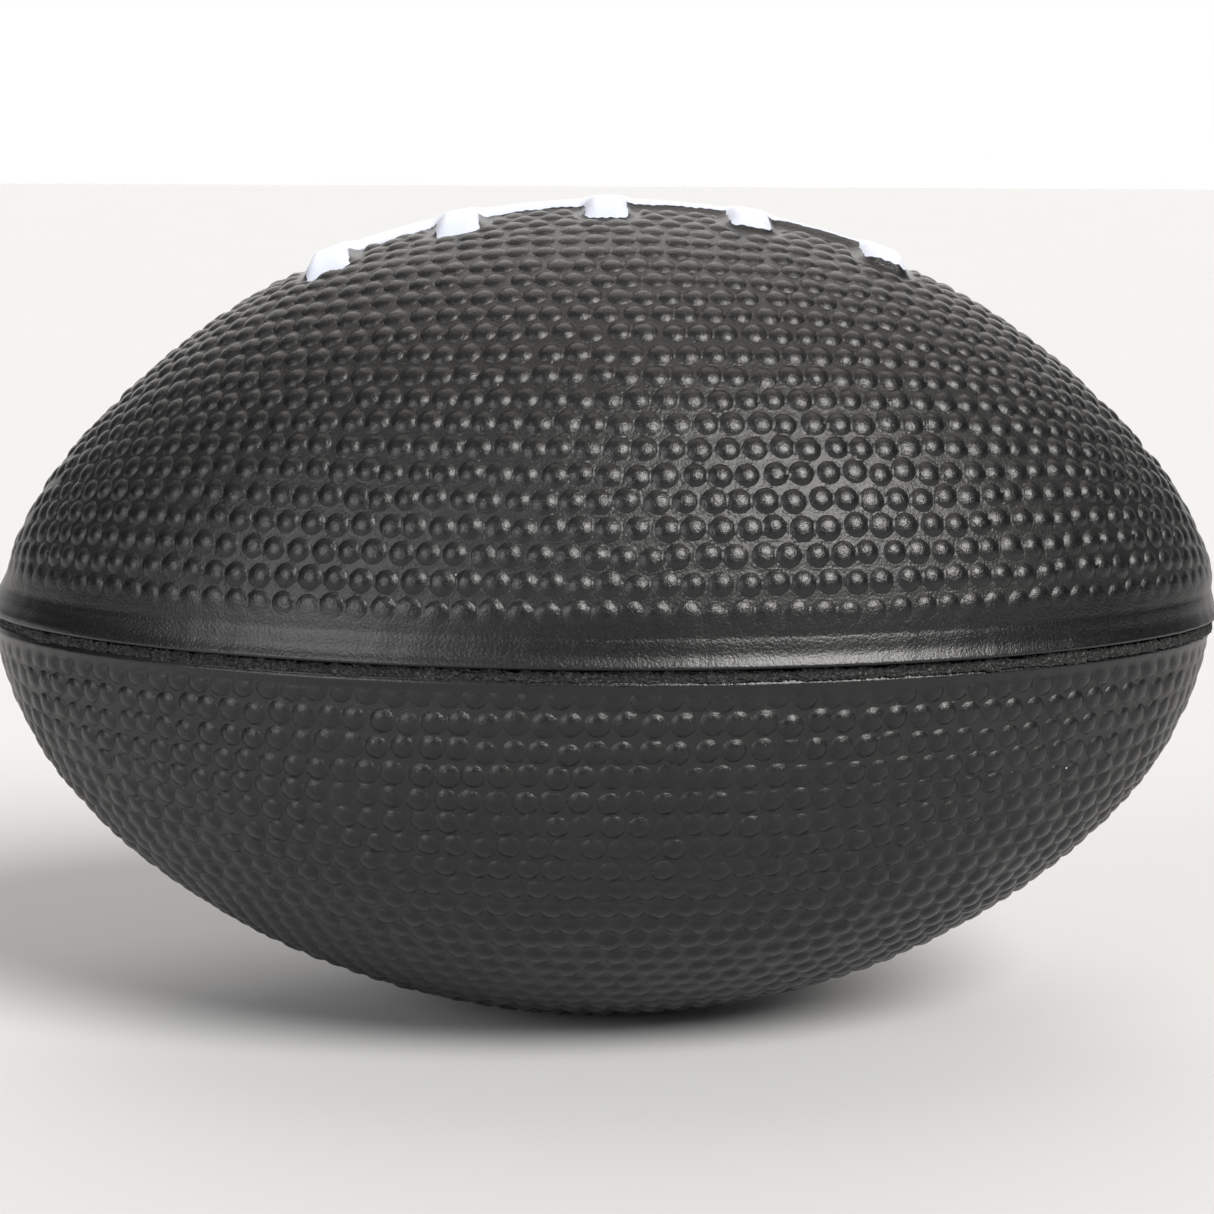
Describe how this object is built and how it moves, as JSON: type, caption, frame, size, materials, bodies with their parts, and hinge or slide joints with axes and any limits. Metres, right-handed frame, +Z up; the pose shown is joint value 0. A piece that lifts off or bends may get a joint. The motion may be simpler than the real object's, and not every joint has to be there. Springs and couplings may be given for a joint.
{
  "type": "foam squeeze ball",
  "caption": "Moulded foam squeeze ball shaped as an American football, with pebbled skin, rolled parting-line bead and raised white lacing.",
  "frame": {"origin": "point under the middle of the ball where it touches a level surface", "axes": "+X along the ball's long axis, +Z up through the lacing, Y across the ball"},
  "size_m": [0.0896, 0.0596, 0.0595],
  "materials": {
    "core_foam": "soft open-cell polyurethane foam, dyed black",
    "black_skin": "satin moulded integral foam skin with a pebbled grain",
    "cut_foam": "rough trimmed foam with open cells",
    "white_lace": "satin white flexible paint on raised foam"
  },
  "bodies": {
    "root": {"foam_core": "core_foam", "upper_skin": "black_skin", "lower_skin": "black_skin", "parting_flash": "cut_foam", "lace_spine": "white_lace", "cross_lace_1": "white_lace", "cross_lace_2": "white_lace", "cross_lace_3": "white_lace", "cross_lace_4": "white_lace", "cross_lace_5": "white_lace"}
  },
  "joints": []
}
